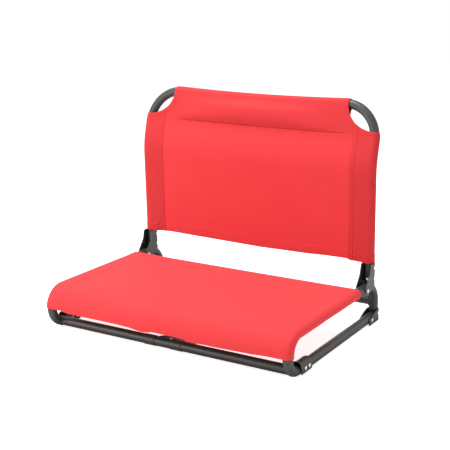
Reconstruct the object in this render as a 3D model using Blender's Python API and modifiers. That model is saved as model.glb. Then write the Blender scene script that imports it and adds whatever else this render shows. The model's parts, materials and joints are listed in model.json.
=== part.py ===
"""Folding stadium seat: bent tube base and back, pressed saddles, rivets and canvas panels.

Metres, +Z up, front towards -Y. The origin is on the floor under the middle of the seat.
"""
import math

import bmesh
import bpy
from mathutils import Matrix, Vector

# Tube and sheet stock
TUBE_OD = 0.0190
TUBE_WALL = 0.0012
SHEET = 0.0018
FABRIC = 0.0010
WEBBING = 0.0016

# Clearances
GAP = 0.0003                # between pieces that touch
HOLE_CLEARANCE = 0.0003     # round a rivet's shank, on the radius
BUTT_GAP = 0.0010           # between tube ends that face each other

# Base: distances between tube axes, bends and straight runs
RAIL_SPAN = 0.530           # left rail axis to right rail axis
LEG_SPAN = 0.382            # front leg axis to rear leg axis
LOWER_BEND = 0.034          # front leg to floor stub
LEG_STRAIGHT = 0.001        # between the front leg's two bends
FRONT_BEND = 0.035          # front leg to rail
REAR_BEND = 0.040           # rail to rear leg
BAR_BEHIND_LEG = 0.0246     # front bar axis behind front leg axis
BAR_LIFT = 0.0024           # front bar axis above the floor tubes' axis, clear of the webbing under it
STUB_LENGTH = 0.0205        # straight run behind the lower bend
REAR_BAR_RISE = 0.0310      # rear bar axis above the floor tubes' axis

# Back: the pivot sits on the rail axis just ahead of the rear bend
PIVOT_AHEAD = 0.0206        # pivot ahead of the rear bend's start
BACK_OFFSET = 0.0330        # back tube axis behind the pivot
BACK_LEAN = math.radians(2.2)    # the lower part leans forward by this
BACK_KINK = math.radians(16.5)   # the upper part bends back from the lower part by this
KINK_HEIGHT = 0.248         # where the two parts' axes cross, above the pivot
UPPER_LENGTH = 0.118        # from there to the top bar axis
KINK_BEND = 0.150
BACK_BEND = 0.070           # top corners
BACK_TUBE_LIFT = 0.0010     # back tube's lower ends above the rails

# Front saddle, along the floor tube and measured from its axis
FRONT_SADDLE_START = 0.0074     # front edge behind the bar axis
FRONT_SADDLE_LENGTH = 0.043
FRONT_SADDLE_CROWN = 0.003      # arch centre above the tube axis
FRONT_SADDLE_DROP = 0.0065      # flange edge below the tube axis

# Rear saddle, round the rear leg
REAR_SADDLE_REACH = 0.045       # front edge ahead of the leg axis
REAR_SADDLE_LOW = 0.0030        # front edge's top above the floor tube axis
REAR_SADDLE_HIGH = 0.0150       # top above the floor tube axis
REAR_SADDLE_SHOULDER = 0.012    # where the slanted edge reaches the top, ahead of the leg axis

# Hinge saddle, measured from the pivot
HINGE_NOSE = 0.0095             # flange radius round the pivot
HINGE_TOP = 0.0495              # top edge above the pivot
HINGE_FRONT = 0.0170            # front edge behind the pivot, at the top
HINGE_DENTS = (0.012, 0.033)    # pressed dents in the rear corners, above the pivot
DENT_RADIUS = 0.0017

# Rivets
SHANK = 0.0048
HEAD = 0.0092
HEAD_HEIGHT = 0.0022
SET_HEAD = 0.0076               # the head formed at the far end
SET_HEIGHT = 0.0015
FRONT_RIVET_AHEAD = 0.0070      # from each tube end to its rivet, under the front saddle
FRONT_RIVET_LIFT = 0.0020       # above the tube axis
REAR_RIVET_AHEAD = 0.0326       # ahead of the rear leg axis
LEG_RIVET_HEIGHT = 0.0065       # above the floor tube axis
WEB_RIVET_RISE = 0.0053         # above the rail's top

# Seat panel
SEAT_REAR = 0.032               # rear hem ahead of the pivot
SEAT_APRON = 0.002              # front hem below the front bend's start
SEAT_SEAM = 0.030               # sleeve seam inboard of the rail axis
SEAT_SAG = 0.004

# Back panel
BACK_HEM = 0.051                # bottom hem above the pivot
BACK_SIDE_SEAM = 0.043          # side sleeve seam inboard of the tube axis
BACK_TOP_SEAM = 0.064           # top sleeve seam below the top bar axis
BACK_BILLOW = 0.004
SCOOP_DROP = 0.053              # corner scoops start this far below the top bar axis
SCOOP_REACH = BACK_BEND         # and reach inboard of the side tubes to where the top bar is straight

# Carry handle
HANDLE_X = -0.012               # middle of the handle along the front bar
HANDLE_SPACING = 0.060          # between the loops' middles
STRAP = 0.025
HANDLE_REACH = 0.070            # grip's rear edge behind the bar axis

# Facets
BEND_ANGLE = math.radians(11.25)    # turn of one facet along a bend
TUBE_BEVEL = 6
TUBE_SIDES = 16
ROUND_STEPS = 12
SLEEVE_STEPS = 9

# Worked out from the sizes above
RADIUS = TUBE_OD / 2
HALF_SPAN = RAIL_SPAN / 2
RAIL_RISE = LOWER_BEND + LEG_STRAIGHT + FRONT_BEND
SADDLE_IN = RADIUS + GAP
SADDLE_OUT = SADDLE_IN + SHEET
SLEEVE = RADIUS + GAP + FABRIC / 2
SEAT_CLEAR = SLEEVE + FABRIC        # a folded flange stays this far above the rail axis
REAR_REACH = SADDLE_OUT + GAP + HEAD_HEIGHT
FRONT_REACH = SLEEVE + FABRIC / 2
FRONT_LEG_Y = (FRONT_REACH - REAR_REACH - LEG_SPAN) / 2
REAR_LEG_Y = FRONT_LEG_Y + LEG_SPAN
BAR_Y = FRONT_LEG_Y + BAR_BEHIND_LEG
PIVOT_Y = REAR_LEG_Y - REAR_BEND - PIVOT_AHEAD
BACK_Y = PIVOT_Y + BACK_OFFSET
FLOOR_AXIS = RADIUS
RAIL_Z = FLOOR_AXIS + RAIL_RISE
BAR_Z = FLOOR_AXIS + BAR_LIFT
REAR_BAR_Z = FLOOR_AXIS + REAR_BAR_RISE
STUB_END = FRONT_LEG_Y + LOWER_BEND + STUB_LENGTH
SIDES = {"left": -1, "right": 1}


def clear_scene():
    for item in list(bpy.data.objects):
        bpy.data.objects.remove(item, do_unlink=True)
    for group in list(bpy.data.collections):
        bpy.data.collections.remove(group)


clear_scene()
PARTS = bpy.data.collections.new("stadium_seat")
CUTTERS = bpy.data.collections.new("stadium_seat_cutters")
bpy.context.scene.collection.children.link(PARTS)
bpy.context.scene.collection.children.link(CUTTERS)


def finish(name, colour, roughness, metallic):
    """A Principled material; the colour is linear RGB."""
    made = bpy.data.materials.new(name)
    made.use_nodes = True
    shader = made.node_tree.nodes["Principled BSDF"]
    shader.inputs["Base Color"].default_value = (*colour, 1.0)
    shader.inputs["Roughness"].default_value = roughness
    shader.inputs["Metallic"].default_value = metallic
    return made


POWDER_COAT = finish("charcoal_powder_coat", (0.042, 0.042, 0.041), 0.42, 0.0)
BRIGHT_STEEL = finish("bright_rivet_steel", (0.62, 0.62, 0.60), 0.28, 1.0)
RED_CANVAS = finish("red_canvas", (0.86, 0.055, 0.062), 0.85, 0.0)
BLACK_WEBBING = finish("black_webbing", (0.018, 0.017, 0.017), 0.80, 0.0)


def add(name, data, collection=PARTS, place=Matrix.Identity(4)):
    made = bpy.data.objects.new(name, data)
    collection.objects.link(made)
    made.matrix_world = place
    if collection is CUTTERS:
        made.hide_render = True
        made.display_type = "WIRE"
    return made


def as_mesh(source):
    """Turn a curve object into a welded mesh object with the same name and place."""
    bpy.context.view_layer.update()
    graph = bpy.context.evaluated_depsgraph_get()
    mesh = bpy.data.meshes.new_from_object(source.evaluated_get(graph))
    name, place, collection = source.name, source.matrix_world.copy(), source.users_collection[0]
    bpy.data.objects.remove(source, do_unlink=True)
    work = bmesh.new()
    work.from_mesh(mesh)
    bmesh.ops.remove_doubles(work, verts=work.verts, dist=1e-6)
    work.to_mesh(mesh)
    work.free()
    return add(name, mesh, collection, place)


def dress(item, material):
    item.data.materials.clear()
    item.data.materials.append(material)
    item.data.shade_smooth()
    item.data.set_sharp_from_angle(angle=math.radians(35))
    return item


def bent_path(corners, bends):
    """Points along straight runs, with an arc of the given radius at each inner corner."""
    path = [corners[0]]
    for before, corner, after, radius in zip(corners, corners[1:], corners[2:], bends):
        back = (before - corner).normalized()
        onward = (after - corner).normalized()
        turn = math.pi - back.angle(onward)
        start = corner + back * radius * math.tan(turn / 2)
        centre = corner + (back + onward).normalized() * radius / math.cos(turn / 2)
        axis = onward.cross(back).normalized()
        steps = max(2, round(turn / BEND_ANGLE))
        for step in range(steps + 1):
            swing = Matrix.Rotation(turn * step / steps, 3, axis)
            path.append(centre + swing @ (start - centre))
    path.append(corners[-1])
    return path


def tube(name, path):
    """A hollow tube along a path: a bevelled curve with open ends, then Solidify inwards."""
    curve = bpy.data.curves.new(name, "CURVE")
    curve.dimensions = "3D"
    curve.bevel_depth = RADIUS
    curve.bevel_resolution = TUBE_BEVEL
    curve.use_fill_caps = False
    spline = curve.splines.new("POLY")
    spline.points.add(len(path) - 1)
    for point, place in zip(spline.points, path):
        point.co = (*place, 1.0)
    made = dress(as_mesh(add(name, curve)), POWDER_COAT)
    wall = made.modifiers.new("wall", "SOLIDIFY")
    wall.thickness = TUBE_WALL
    wall.offset = -1.0
    wall.use_even_offset = True
    return made


def prism(name, outline, half_depth, place, collection=CUTTERS):
    """A flat outline in its own XY plane, extruded both ways along its own Z."""
    curve = bpy.data.curves.new(name, "CURVE")
    curve.dimensions = "2D"
    curve.fill_mode = "BOTH"
    curve.extrude = half_depth
    spline = curve.splines.new("POLY")
    spline.points.add(len(outline) - 1)
    for point, (x, y) in zip(spline.points, outline):
        point.co = (x, y, 0.0, 1.0)
    spline.use_cyclic_u = True
    return as_mesh(add(name, curve, collection, place))


def rod(name, start, end, radius, sides=ROUND_STEPS, collection=CUTTERS):
    """A plain closed cylinder between two points; the radius is measured to its flats."""
    mesh = bpy.data.meshes.new(name)
    work = bmesh.new()
    along = end - start
    corner = radius / math.cos(math.pi / sides)
    bmesh.ops.create_cone(
        work, cap_ends=True, segments=sides, radius1=corner, radius2=corner, depth=along.length
    )
    work.to_mesh(mesh)
    work.free()
    turn = along.to_track_quat("Z", "Y").to_matrix().to_4x4()
    return add(name, mesh, collection, Matrix.Translation((start + end) / 2) @ turn)


def combine(item, other, operation="DIFFERENCE"):
    step = item.modifiers.new(f"{operation.lower()}_{other.name}", "BOOLEAN")
    step.operation = operation
    step.solver = "EXACT"
    step.object = other


def drill(name, start, end, items):
    hole = rod(f"cut_{name}", start, end, SHANK / 2 + HOLE_CLEARANCE)
    for item in items:
        combine(item, hole)
    return hole


def rivet(name, seat, outward, grip):
    """A turned rivet: domed head outside the seat point, shank through the grip, set head beyond."""
    dome = []
    for step in range(4):
        angle = math.radians(90 - 30 * step)
        dome.append((HEAD / 2 * math.cos(angle), HEAD_HEIGHT * math.sin(angle)))
    dome[0] = (0.0, HEAD_HEIGHT)
    far = -grip
    profile = dome + [
        (SHANK / 2, 0.0),
        (SHANK / 2, far),
        (SET_HEAD / 2, far),
        (SET_HEAD / 2, far - SET_HEIGHT),
        (0.0, far - SET_HEIGHT),
    ]
    return turned(name, profile, seat, outward, BRIGHT_STEEL)


def turned(name, profile, origin, axis, material):
    """A profile of (radius, height) pairs swept once round its axis with a Screw modifier."""
    mesh = bpy.data.meshes.new(name)
    points = [(radius, 0.0, height) for radius, height in profile]
    edges = [(step, step + 1) for step in range(len(points) - 1)]
    mesh.from_pydata(points, edges, [])
    turn = axis.to_track_quat("Z", "Y").to_matrix().to_4x4()
    made = add(name, mesh, place=Matrix.Translation(origin) @ turn)
    spin = made.modifiers.new("turned", "SCREW")
    spin.steps = ROUND_STEPS
    spin.render_steps = ROUND_STEPS
    spin.use_merge_vertices = True
    spin.merge_threshold = 0.000001
    made.data.materials.append(material)
    return made


def cross_rivet(name, side, out, y, z, items):
    """A rivet across a saddle, domed head outside, with its hole through the given pieces."""
    across = Vector((side, 0.0, 0.0))
    centre = Vector((side * HALF_SPAN, y, z))
    reach = out + GAP
    margin = across * (reach + HEAD_HEIGHT)
    drill(name, centre - margin, centre + margin, items)
    return rivet(name, centre + across * reach, across, 2 * reach)


def channel_section(inner, outer, depth):
    """A U open towards -Y with a half-round back, as (x, y) pairs."""
    arc = [math.pi * step / ROUND_STEPS for step in range(ROUND_STEPS + 1)]
    outside = [(outer * math.cos(turn), outer * math.sin(turn)) for turn in arc]
    inside = [(inner * math.cos(turn), inner * math.sin(turn)) for turn in reversed(arc)]
    return [(outer, -depth)] + outside + [(-outer, -depth), (-inner, -depth)] + inside + [(inner, -depth)]


# Own X across the seat, own Y towards the closed back, own Z along the piece
UPRIGHT = Matrix.Identity(4)
LENGTHWISE = Matrix(((-1, 0, 0, 0), (0, 0, 1, 0), (0, 1, 0, 0), (0, 0, 0, 1)))
# An outline drawn in own (Y, Z) and extruded along own X
SIDE_VIEW = Matrix(((0, 0, 1, 0), (1, 0, 0, 0), (0, 1, 0, 0), (0, 0, 0, 1)))


def saddle(name, inner, outer, outline, place):
    """A pressed channel: a U section carried along its length, kept only inside its side outline."""
    deepest = -min(y for y, _ in outline)
    low = min(z for _, z in outline)
    high = max(z for _, z in outline)
    spare = SHEET
    middle = Matrix.Translation((0.0, 0.0, (low + high) / 2))
    section = channel_section(inner, outer, deepest + spare)
    made = prism(name, section, (high - low) / 2 + spare, place @ middle, PARTS)
    side_view = prism(f"keep_{name}", outline, outer + spare, place @ SIDE_VIEW)
    combine(made, side_view, "INTERSECT")
    return dress(made, POWDER_COAT), side_view


def side_frame(label, side):
    x = side * HALF_SPAN
    corners = [
        Vector((x, REAR_LEG_Y, FLOOR_AXIS - RADIUS + BUTT_GAP)),
        Vector((x, REAR_LEG_Y, RAIL_Z)),
        Vector((x, FRONT_LEG_Y, RAIL_Z)),
        Vector((x, FRONT_LEG_Y, FLOOR_AXIS)),
        Vector((x, STUB_END, FLOOR_AXIS)),
    ]
    return tube(f"{label}_side_frame", bent_path(corners, [REAR_BEND, FRONT_BEND, LOWER_BEND]))


def lower_tube(label, side):
    front = Vector((side * HALF_SPAN, STUB_END + BUTT_GAP, FLOOR_AXIS))
    rear = Vector((side * HALF_SPAN, REAR_LEG_Y - RADIUS - BUTT_GAP, FLOOR_AXIS))
    return tube(f"{label}_lower_tube", [front, rear])


def cross_bar(name, y, z):
    """A straight tube from side frame to side frame."""
    reach = HALF_SPAN - RADIUS - GAP
    return tube(name, [Vector((-reach, y, z)), Vector((reach, y, z))])


def front_saddle(label, side, frame, floor_tube):
    start = BAR_Y + FRONT_SADDLE_START
    crown = SADDLE_OUT
    drop = -FRONT_SADDLE_DROP - FRONT_SADDLE_CROWN
    outline = [(drop, 0.0), (crown, 0.0), (crown, FRONT_SADDLE_LENGTH), (drop, FRONT_SADDLE_LENGTH)]
    arch = Vector((side * HALF_SPAN, start, FLOOR_AXIS + FRONT_SADDLE_CROWN))
    name = f"{label}_front_saddle"
    made, _ = saddle(name, SADDLE_IN, SADDLE_OUT, outline, Matrix.Translation(arch) @ LENGTHWISE)
    inboard = Vector((side * (HALF_SPAN - 2 * TUBE_OD), BAR_Y, BAR_Z))
    middle = Vector((side * HALF_SPAN, BAR_Y, BAR_Z))
    combine(made, rod(f"cut_{name}_bar", inboard, middle, RADIUS + GAP, TUBE_SIDES))
    rivet_z = FLOOR_AXIS + FRONT_RIVET_LIFT
    rivet_y = (STUB_END - FRONT_RIVET_AHEAD, STUB_END + BUTT_GAP + FRONT_RIVET_AHEAD)
    for place, y, held in zip(("front", "rear"), rivet_y, (frame, floor_tube)):
        cross_rivet(f"{label}_saddle_rivet_{place}", side, SADDLE_OUT, y, rivet_z, [made, held])
    return made


def rear_saddle(label, side, frame, floor_tube):
    front = -REAR_SADDLE_REACH
    outline = [
        (front, -RADIUS),
        (SADDLE_OUT, -RADIUS),
        (SADDLE_OUT, REAR_SADDLE_HIGH),
        (-REAR_SADDLE_SHOULDER, REAR_SADDLE_HIGH),
        (front, REAR_SADDLE_LOW),
    ]
    leg = Vector((side * HALF_SPAN, REAR_LEG_Y, FLOOR_AXIS))
    made, _ = saddle(f"{label}_rear_saddle", SADDLE_IN, SADDLE_OUT, outline, Matrix.Translation(leg))
    tube_rivet_y = REAR_LEG_Y - REAR_RIVET_AHEAD
    cross_rivet(f"{label}_rear_tube_rivet", side, SADDLE_OUT, tube_rivet_y, FLOOR_AXIS, [made, floor_tube])
    rearward = Vector((0.0, 1.0, 0.0))
    seat = leg + Vector((0.0, SADDLE_OUT + GAP, LEG_RIVET_HEIGHT))
    # Blind: its set head lies against the tube's bore
    bore = math.sqrt((RADIUS - TUBE_WALL) ** 2 - (SET_HEAD / 2) ** 2) - 2 * GAP
    grip = SADDLE_OUT + GAP - bore
    name = f"{label}_rear_leg_rivet"
    drill(name, seat - rearward * grip, seat + rearward * HEAD_HEIGHT, [made, frame])
    rivet(name, seat, rearward, grip)
    return made


def web_rest(offset):
    """Where a line of the back, this far behind the pivot, comes down onto the rail's rear bend."""
    back = Vector((math.cos(BACK_LEAN), math.sin(BACK_LEAN)))
    up = Vector((-math.sin(BACK_LEAN), math.cos(BACK_LEAN)))
    start = back * offset - Vector((PIVOT_AHEAD, -REAR_BEND))
    reach = REAR_BEND + RADIUS + GAP
    rise = start.dot(up)
    return math.sqrt(rise ** 2 - start.length_squared + reach ** 2) - rise


def tangent_angle(point, radius, turn):
    """Angle on a circle about the origin where a line from the point touches it; turn picks the side."""
    y, z = point
    return math.atan2(z, y) + turn * math.acos(radius / math.hypot(y, z))


def hinge_outline(web_in, web_out, web_low):
    """A hinge flange from the side, about the pivot: round nose, slanted front, straight rear.

    The slant is notched where it would press into the seat panel when the back is folded.
    """
    top_front = (max(HINGE_FRONT, SEAT_CLEAR), HINGE_TOP)
    low_rear = (web_in, web_low)
    start = tangent_angle(top_front, HINGE_NOSE, 1)
    stop = tangent_angle(low_rear, HINGE_NOSE, -1) + 2 * math.pi
    nose = []
    for step in range(ROUND_STEPS + 1):
        turn = start + (stop - start) * step / ROUND_STEPS
        nose.append((HINGE_NOSE * math.cos(turn), HINGE_NOSE * math.sin(turn)))
    slant = (top_front[0] - nose[0][0]) / (HINGE_TOP - nose[0][1])
    notch_low = SEAT_REAR - 2 * GAP
    notch_high = HINGE_TOP - (top_front[0] - SEAT_CLEAR) / slant
    notch = []
    if notch_low < notch_high:
        slant_low = top_front[0] - slant * (HINGE_TOP - notch_low)
        notch = [(SEAT_CLEAR, notch_high), (SEAT_CLEAR, notch_low), (slant_low, notch_low)]
    return nose + [low_rear, (web_out, web_low), (web_out, HINGE_TOP), top_front] + notch


def hinge_saddle(label, side, frame, back, group):
    """The channel that straddles a rail; its web meets the rear bend and stops the back upright.

    The notch in the flanges' front keeps them clear of the seat panel when the back is folded.
    """
    web_in = BACK_OFFSET + SADDLE_IN
    web_out = BACK_OFFSET + SADDLE_OUT
    web_low = web_rest(web_in)
    pivot = Vector((side * HALF_SPAN, PIVOT_Y, RAIL_Z))
    shift = Matrix.Translation(pivot + Vector((0.0, BACK_OFFSET, 0.0)))
    name = f"{label}_hinge_saddle"
    outline = [(y - BACK_OFFSET, z) for y, z in hinge_outline(web_in, web_out, web_low)]
    made, side_view = saddle(name, SADDLE_IN, SADDLE_OUT, outline, shift)
    moving = [made, side_view]

    # Dents pressed into the rounded rear corners
    corner = math.radians(35)
    for across in (-1, 1):
        for number, height in enumerate(HINGE_DENTS):
            spot = Vector((
                across * SADDLE_OUT * math.cos(corner),
                BACK_OFFSET + SADDLE_OUT * math.sin(corner),
                height,
            ))
            dent = ball(f"cut_{name}_dent_{across}_{number}", pivot + spot, DENT_RADIUS)
            combine(made, dent)
            moving.append(dent)

    cross_rivet(f"{label}_pivot_rivet", side, SADDLE_OUT, PIVOT_Y, RAIL_Z, [made, frame])
    rearward = Vector((0.0, 1.0, 0.0))
    seat = pivot + Vector((0.0, BACK_OFFSET - RADIUS - GAP, RADIUS + WEB_RIVET_RISE))
    grip = TUBE_OD + SHEET + 3 * GAP
    rivet_name = f"{label}_hinge_web_rivet"
    far = seat + rearward * (grip + SET_HEIGHT)
    moving.append(drill(rivet_name, seat - rearward * HEAD_HEIGHT, far, [made, back]))
    moving.append(rivet(rivet_name, seat, -rearward, grip))
    for item in moving:
        hold(item, group)
    return made


def ball(name, centre, radius):
    mesh = bpy.data.meshes.new(name)
    work = bmesh.new()
    bmesh.ops.create_uvsphere(work, u_segments=8, v_segments=6, radius=radius)
    work.to_mesh(mesh)
    work.free()
    return add(name, mesh, CUTTERS, Matrix.Translation(centre))


def back_axis(x, foot):
    """Corners of a back side tube's axis before it leans: its foot, its kink and its top."""
    kink = Vector((x, BACK_Y, RAIL_Z + KINK_HEIGHT))
    onward = Vector((0.0, math.sin(BACK_KINK), math.cos(BACK_KINK)))
    return [Vector((x, BACK_Y, RAIL_Z + foot)), kink, kink + onward * UPPER_LENGTH]


def back_frame():
    foot = RADIUS + BACK_TUBE_LIFT
    left = back_axis(-HALF_SPAN, foot)
    right = back_axis(HALF_SPAN, foot)
    bends = [KINK_BEND, BACK_BEND, BACK_BEND, KINK_BEND]
    return tube("back_frame", bent_path(left + right[::-1], bends))


def sleeve_section(seam):
    """Round a tube from the panel's face, outwards and behind, then straight back to the seam.

    Pairs are (inboard, towards the face) from the tube axis; the first pair is the face's last point.
    """
    seam_point = (seam, SLEEVE - FABRIC - GAP)
    leave = 2 * math.pi + tangent_angle(seam_point, SLEEVE, -1)
    facet = (leave - math.pi / 2) / SLEEVE_STEPS
    ring = SLEEVE / math.cos(facet / 2)
    turns = [math.pi / 2 + facet * step for step in range(1, SLEEVE_STEPS + 1)]
    wrap = [(ring * math.cos(turn), ring * math.sin(turn)) for turn in turns]
    return [(0.0, SLEEVE)] + wrap + [seam_point]


def side_lines(path, longest):
    """Points along a side axis with the direction of the panel's face at each, no run over the longest."""
    spots = []
    for start, end in zip(path, path[1:]):
        parts = max(1, math.ceil((end - start).length / longest))
        spots += [start.lerp(end, step / parts) for step in range(parts)]
    spots.append(path[-1])
    lines = []
    for place, spot in enumerate(spots):
        before = (spot - spots[max(place - 1, 0)]).normalized()
        after = (spots[min(place + 1, len(spots) - 1)] - spot).normalized()
        along = (before + after).normalized()
        lines.append((spot, Vector((0.0, -along.z, along.y))))
    return lines


def panel(name, columns, rows, keep, place):
    """A flat grid whose points are put in place by column and row, then given the cloth's thickness."""
    mesh = bpy.data.meshes.new(name)
    work = bmesh.new()
    bmesh.ops.create_grid(work, x_segments=columns, y_segments=rows, size=1.0)
    spots = {}
    for point in work.verts:
        column = round((point.co.x + 1) / 2 * columns)
        row = round((point.co.y + 1) / 2 * rows)
        spots[point] = (column, row)
    spare = []
    for face in work.faces:
        column = min(spots[point][0] for point in face.verts)
        row = min(spots[point][1] for point in face.verts)
        if not keep(column, row):
            spare.append(face)
    bmesh.ops.delete(work, geom=spare, context="FACES")
    for point in work.verts:
        point.co = place(*spots[point])
    work.to_mesh(mesh)
    work.free()
    made = dress(add(name, mesh), RED_CANVAS)
    cloth = made.modifiers.new("cloth", "SOLIDIFY")
    cloth.thickness = FABRIC
    cloth.offset = 0.0
    return made


def crown(x, half, depth):
    """How far a panel gives at x, nothing beyond its seams."""
    return depth * max(0.0, 1 - (x / half) ** 2)


def seat_panel():
    """Canvas over both rails, from the rear hem forward and down over the front bends."""
    sleeve = sleeve_section(SEAT_SEAM)
    face_steps = 16
    inner = HALF_SPAN - SEAT_SEAM
    section = [(-HALF_SPAN + inboard, rise) for inboard, rise in reversed(sleeve)]
    for step in range(1, face_steps):
        x = -HALF_SPAN + RAIL_SPAN * step / face_steps
        section.append((x, SLEEVE - crown(x, inner, SEAT_SAG)))
    section += [(HALF_SPAN - inboard, rise) for inboard, rise in sleeve]

    hem = Vector((0.0, FRONT_LEG_Y, RAIL_Z - FRONT_BEND - SEAT_APRON))
    corner = Vector((0.0, FRONT_LEG_Y, RAIL_Z))
    rear = Vector((0.0, PIVOT_Y - SEAT_REAR, RAIL_Z))
    lines = side_lines(bent_path([hem, corner, rear], [FRONT_BEND]), 0.055)

    def place(column, row):
        x, rise = section[column]
        axis, away = lines[row]
        return axis + away * rise + Vector((x, 0.0, 0.0))

    return panel("seat_panel", len(section) - 1, len(lines) - 1, lambda column, row: True, place)


def bend_drift(past):
    """How far inwards a sleeve lies past the start of a top bend, with half a gap spare outside the tube."""
    past = min(max(past, 0.0), BACK_BEND)
    return max(BACK_BEND - math.sqrt(BACK_BEND ** 2 - past ** 2) - GAP / 2, 0.0)


def back_panel():
    """Canvas on the back frame: sleeves down both sides and along the top, scooped at the top corners."""
    side_sleeve = sleeve_section(BACK_SIDE_SEAM)[1:]
    top_sleeve = sleeve_section(BACK_TOP_SEAM)[1:]
    wraps = len(side_sleeve)
    face_steps = 14
    scoop_rows = 5
    hem, kink, top = back_axis(0.0, BACK_HEM)
    upward = (top - kink).normalized()
    forward = Vector((0.0, -upward.z, upward.y))
    straight_end = max(BACK_BEND, SCOOP_DROP)
    lines = side_lines(bent_path([hem, kink, top - upward * straight_end], [KINK_BEND]), 0.045)
    bend_rows = math.ceil((straight_end - SCOOP_DROP) / 0.006)
    for step in range(1, bend_rows + 1):
        drop = straight_end + (SCOOP_DROP - straight_end) * step / bend_rows
        lines.append((top - upward * drop, forward))
    plain_rows = len(lines) - 1
    face_rows = plain_rows + scoop_rows
    inner = HALF_SPAN - BACK_SIDE_SEAM
    half_height = (KINK_HEIGHT + UPPER_LENGTH - BACK_TOP_SEAM - BACK_HEM) / 2
    middle_z = hem.z + half_height

    def face_row(row):
        """Axis point, face direction and half width of a row."""
        if row <= plain_rows:
            axis, away = lines[row]
            return axis, away, HALF_SPAN - bend_drift(BACK_BEND - (top - axis).dot(upward))
        turn = math.pi / 2 * min(row - plain_rows, scoop_rows) / scoop_rows
        axis = top - upward * (SCOOP_DROP * math.cos(turn))
        return axis, forward, HALF_SPAN - SCOOP_REACH * math.sin(turn)

    def place(column, row):
        axis, away, half = face_row(row)
        across = column - wraps
        if across < 0 or across > face_steps:
            side = -1 if across < 0 else 1
            inboard, rise = side_sleeve[-across - 1 if side < 0 else across - face_steps - 1]
            return axis + away * rise + Vector((side * (half - inboard), 0.0, 0.0))
        x = half * (2 * across / face_steps - 1)
        if row > face_rows:
            down, rise = top_sleeve[row - face_rows - 1]
            return top - upward * down + forward * rise + Vector((x, 0.0, 0.0))
        give = crown(x, inner, 1.0) * crown(axis.z - middle_z, half_height, BACK_BILLOW)
        return axis + away * (SLEEVE - give) + Vector((x, 0.0, 0.0))

    def keep(column, row):
        on_face = wraps <= column < wraps + face_steps
        return on_face or row < plain_rows

    columns = face_steps + 2 * wraps
    return panel("back_panel", columns, face_rows + len(top_sleeve), keep, place)


def carry_handle():
    """Webbing: two loops round the front bar and a flat strap behind them, lying just off the floor."""
    loop = RADIUS + GAP + WEBBING
    low = BAR_Z - loop
    half_width = (HANDLE_SPACING + STRAP) / 2
    window = (HANDLE_SPACING - STRAP) / 2
    fold = STRAP / 3
    rear = HANDLE_REACH
    outline = [
        (-half_width, 0.0),
        (-window, 0.0),
        (-window, rear - STRAP),
        (window, rear - STRAP),
        (window, 0.0),
        (half_width, 0.0),
        (half_width, rear - fold),
        (half_width - fold, rear),
        (-half_width + fold, rear),
        (-half_width, rear - fold),
    ]
    strap_place = Matrix.Translation((HANDLE_X, BAR_Y, low + WEBBING / 2))
    made = prism("carry_handle", outline, WEBBING / 2, strap_place, PARTS)
    for side in (-1, 1):
        middle = Vector((HANDLE_X + side * HANDLE_SPACING / 2, BAR_Y, BAR_Z))
        half = Vector((STRAP / 2, 0.0, 0.0))
        ring = rod(f"join_handle_loop_{side}", middle - half, middle + half, loop, TUBE_SIDES)
        combine(made, ring, "UNION")
    reach = Vector((half_width + STRAP, 0.0, 0.0))
    centre = Vector((HANDLE_X, BAR_Y, BAR_Z))
    combine(made, rod("cut_handle_bar", centre - reach, centre + reach, RADIUS + GAP, TUBE_SIDES))
    return dress(made, BLACK_WEBBING)


def pivot_empty(name, place):
    made = bpy.data.objects.new(name, None)
    PARTS.objects.link(made)
    made.location = place
    bpy.context.view_layer.update()
    return made


def hold(item, empty):
    """Parent a piece to its joint's empty without moving it."""
    item.parent = empty
    item.matrix_parent_inverse = empty.matrix_world.inverted()


def build():
    back_pivot = pivot_empty("back_pivot", (0.0, PIVOT_Y, RAIL_Z))
    handle_pivot = pivot_empty("handle_pivot", (HANDLE_X, BAR_Y, BAR_Z))
    cross_bar("front_bar", BAR_Y, BAR_Z)
    cross_bar("rear_bar", REAR_LEG_Y, REAR_BAR_Z)
    back = back_frame()
    hold(back, back_pivot)
    for label, side in SIDES.items():
        frame = side_frame(label, side)
        floor_tube = lower_tube(label, side)
        front_saddle(label, side, frame, floor_tube)
        rear_saddle(label, side, frame, floor_tube)
        hinge_saddle(label, side, frame, back, back_pivot)
    seat_panel()
    hold(back_panel(), back_pivot)
    hold(carry_handle(), handle_pivot)
    back_pivot.rotation_euler.x = BACK_LEAN
    bpy.context.view_layer.update()


build()
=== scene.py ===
"""Looks of a folding stadium seat: powder-coated tube, pressed saddles, rivets, sewn canvas and webbing.

Metres, +Z up, front towards -Y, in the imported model's frame.
"""
import json
import math

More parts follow.
